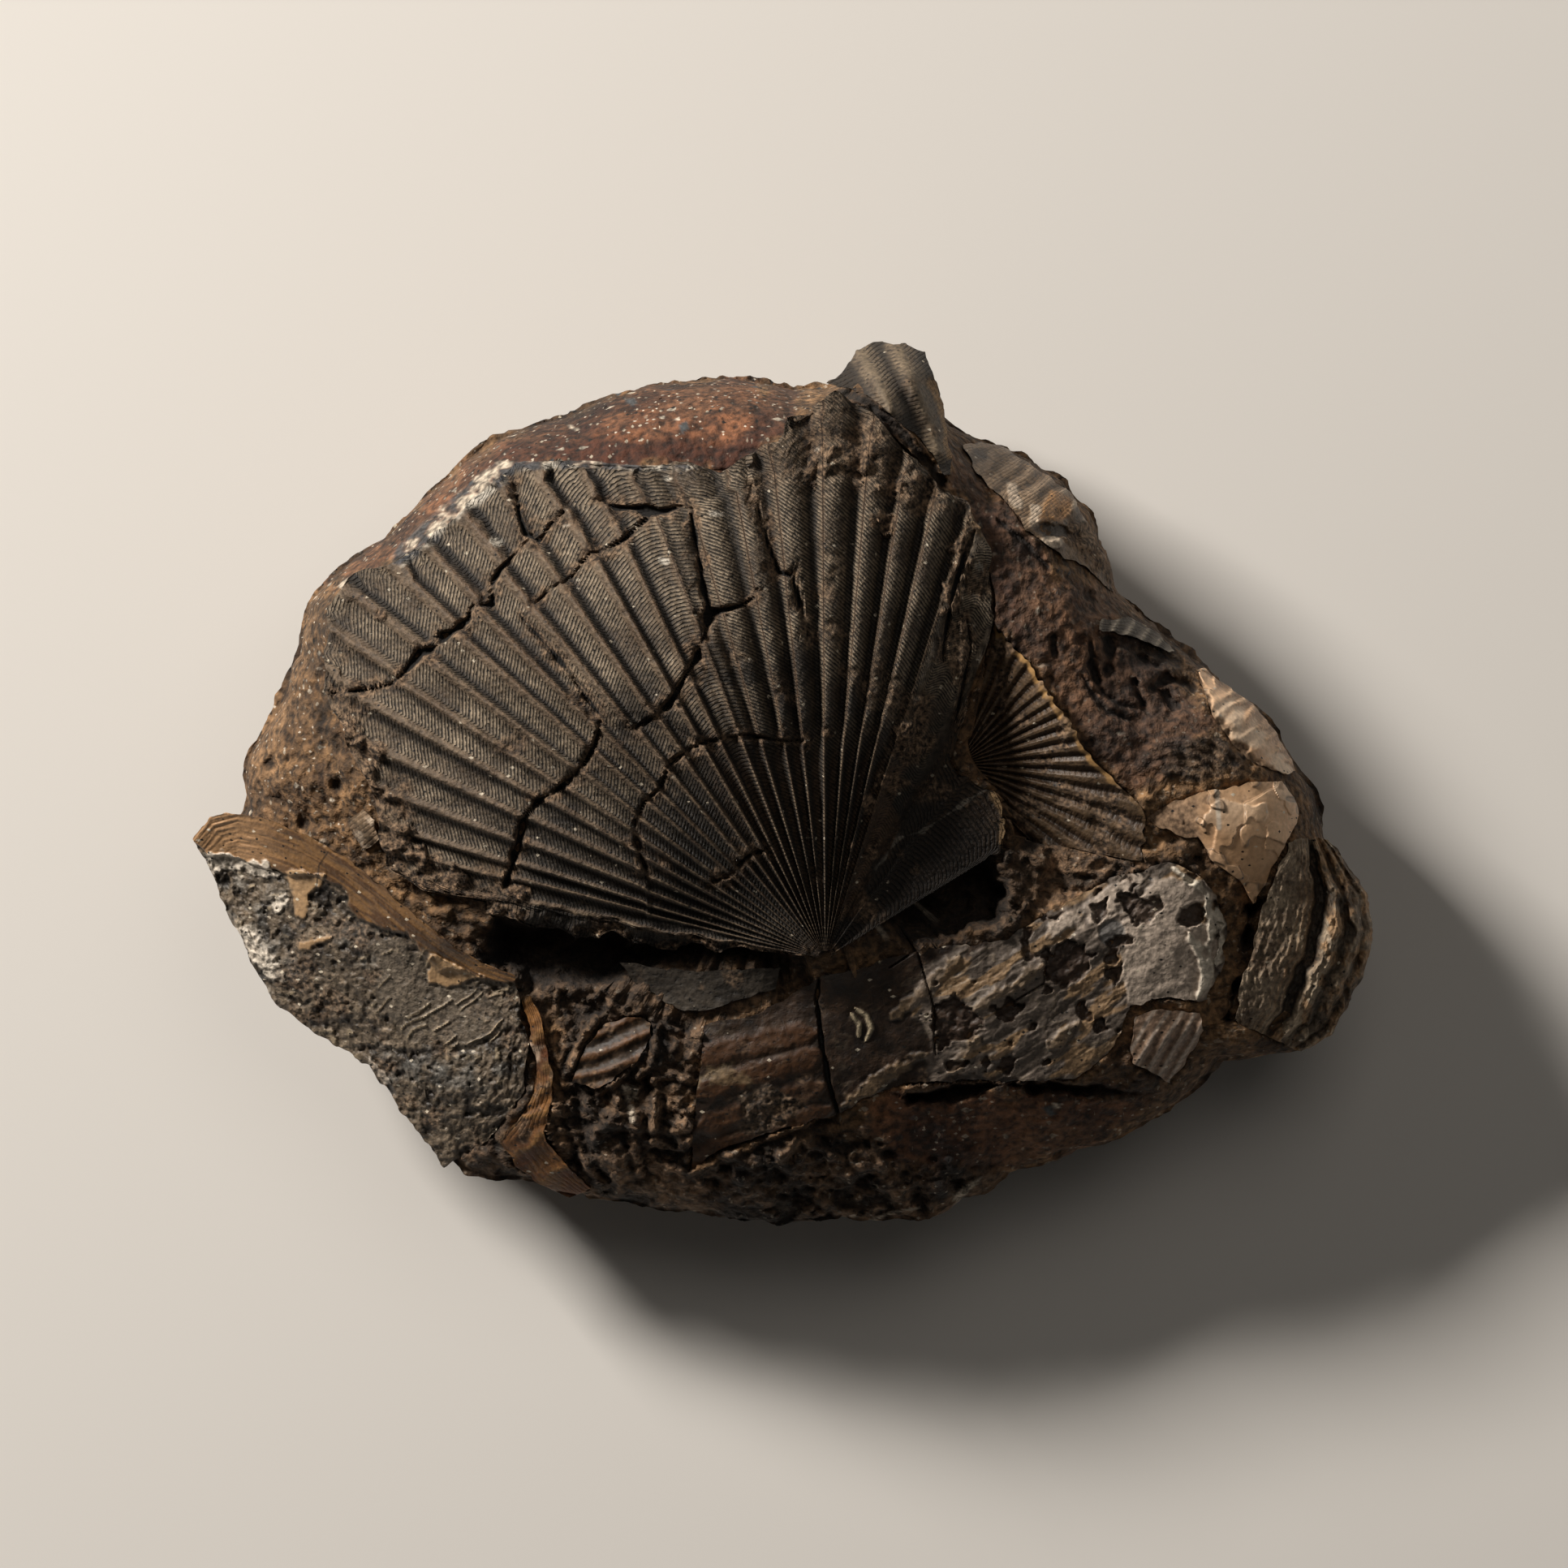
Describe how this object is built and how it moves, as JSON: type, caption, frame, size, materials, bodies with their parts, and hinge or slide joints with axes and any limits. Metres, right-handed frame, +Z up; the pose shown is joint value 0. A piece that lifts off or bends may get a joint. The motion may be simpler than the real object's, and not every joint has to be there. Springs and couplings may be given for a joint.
{
  "type": "fossil scallop",
  "caption": "Fossil scallop: a loose lump of ochre shell limestone with a big ribbed valve, a small ribbed valve and broken pearly and amber shells set in it.",
  "frame": {"origin": "centre of the lump in plan, on the flat spot that it rests on", "axes": "+Z up out of the fossil's face, +X along the long side of the lump towards the layered slab"},
  "size_m": [0.1899, 0.1417, 0.0753],
  "materials": {
    "ochre_limestone": "rough, earthy, dull",
    "grey_brown_calcite": "finely lined, dull with a faint sheen on the crests",
    "amber_calcite": "smooth, fibrous, slightly waxy",
    "pearly_calcite": "pale, layered, faintly pearly",
    "dark_calcite": "dark, ridged, dull",
    "tan_calcite": "smooth, waxy"
  },
  "bodies": {
    "root": {"matrix_rock": "ochre_limestone", "main_scallop_valve": "grey_brown_calcite", "small_scallop_valve": "amber_calcite", "top_ribbed_shell": "dark_calcite", "left_oyster_shell": "pearly_calcite", "amber_shell_sliver": "amber_calcite", "small_ribbed_fragment": "dark_calcite", "striated_ear_piece": "grey_brown_calcite", "lower_scallop_valve": "pearly_calcite", "fluted_shard": "pearly_calcite", "tan_shell": "tan_calcite", "right_edge_oyster": "dark_calcite", "upper_right_shell": "pearly_calcite", "right_shoulder_shell": "tan_calcite", "dark_ribbed_chip": "dark_calcite", "left_shell_chip": "pearly_calcite"}
  },
  "joints": []
}
